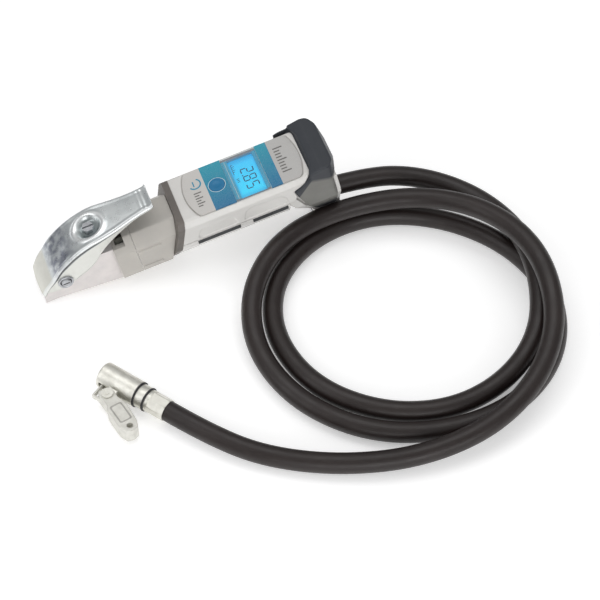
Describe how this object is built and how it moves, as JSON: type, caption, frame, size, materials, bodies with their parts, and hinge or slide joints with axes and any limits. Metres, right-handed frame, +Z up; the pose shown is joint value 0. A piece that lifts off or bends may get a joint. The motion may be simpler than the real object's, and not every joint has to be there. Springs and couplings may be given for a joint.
{
  "type": "tyre inflator with gauge",
  "caption": "Hand-held tyre inflator: pressed lever, digital pressure display, rubber rear cap and leg, coiled rubber hose and clip-on chuck.",
  "frame": {"origin": "bottom centre of the handle as it rests on its nose and its leg", "axes": "+X from the nose to the rear of the handle, +Y across it, +Z up; the hose lies on the -Y side"},
  "size_m": [0.3215, 0.244, 0.0727],
  "materials": {
    "plated_steel": "bright zinc plated pressing",
    "cast_alloy": "satin die casting",
    "neck_grey": "warm grey satin paint",
    "taupe_trim": "dark taupe moulding",
    "silver_plastic": "satin silver paint",
    "grip_grey": "textured",
    "label_film": "printed film, blue and silver bands",
    "clear_window": "clear acrylic",
    "bezel_grey": "satin",
    "display_blue": "backlit liquid crystal",
    "backlight_white": "light guide",
    "board_green": "solder mask",
    "key_blue": "domed film key",
    "cell_wrap": "plain wrap",
    "tube_nylon": "natural nylon",
    "cap_rubber": "smooth moulded rubber",
    "hose_rubber": "satin extruded rubber",
    "seal_rubber": "matte",
    "ring_black": "matte",
    "nickel": "satin nickel plate",
    "brass": "machined",
    "spring_steel": "drawn wire"
  },
  "bodies": {
    "handle": {"lever_pivot_pin": "plated_steel", "valve_block": "cast_alloy", "front_collar": "neck_grey", "neck_sleeve": "neck_grey", "rim_ring": "taupe_trim", "air_inlet_bush": "brass", "inlet_filter": "brass", "valve_cap": "brass", "stem_gland": "brass", "stem_o_ring": "seal_rubber", "valve_spring": "spring_steel", "upper_shell": "silver_plastic", "lower_shell": "silver_plastic", "grip_strips": "grip_grey", "label_panel": "label_film", "window_lens": "clear_window", "display_bezel": "bezel_grey", "display_module": "display_blue", "backlight": "backlight_white", "circuit_board": "board_green", "key_switch": "grip_grey", "pressure_sensor": "bezel_grey", "battery_cells": "cell_wrap", "battery_tray": "grip_grey", "battery_cover": "silver_plastic", "housing_screws": "spring_steel", "air_tube": "tube_nylon", "sensor_tube": "tube_nylon", "leg_frame": "silver_plastic", "foot_pad": "cap_rubber", "rear_cap": "cap_rubber", "hose_union": "brass", "hose_ferrule": "nickel", "hose": "hose_rubber", "chuck_barrel": "nickel", "chuck_seal": "seal_rubber", "depressor_pin": "brass", "chuck_collar": "nickel", "chuck_rings": "ring_black", "chuck_ferrule": "nickel", "clip_pin": "nickel", "clip_spring": "spring_steel"},
    "lever": {"lever": "plated_steel", "lock_nut": "plated_steel", "adjusting_screw": "plated_steel"},
    "valve": {"valve_stem": "brass", "stem_seal": "seal_rubber"},
    "key": {"units_key": "key_blue"},
    "clip": {"clip_lever": "nickel"}
  },
  "joints": [
    {"name": "lever_press", "type": "hinge", "parent": "handle", "child": "lever", "pos_m": [-0.08753, 0, 0.01794], "axis": [0, 1, 0], "range_deg": [0, 7.5], "stiffness_Nm_per_rad": 8},
    {"name": "valve_slide", "type": "slide", "parent": "handle", "child": "valve", "axis": [0.1822, 0, -0.9833], "range_m": [0, 0.0036], "deforming": ["valve_spring"]},
    {"name": "units_key_press", "type": "slide", "parent": "handle", "child": "key", "axis": [0.1822, 0, -0.9833], "range_m": [0, 0.0005], "stiffness_N_per_m": 3000},
    {"name": "clip_squeeze", "type": "hinge", "parent": "handle", "child": "clip", "pos_m": [-0.08691, -0.10692, 0.00875], "axis": [0, 0, 1], "range_deg": [0, 12], "stiffness_Nm_per_rad": 0.5}
  ],
  "couplings": [
    {"joint": "valve_slide", "follows": "lever_press", "m_per_rad": 0.0265}
  ]
}
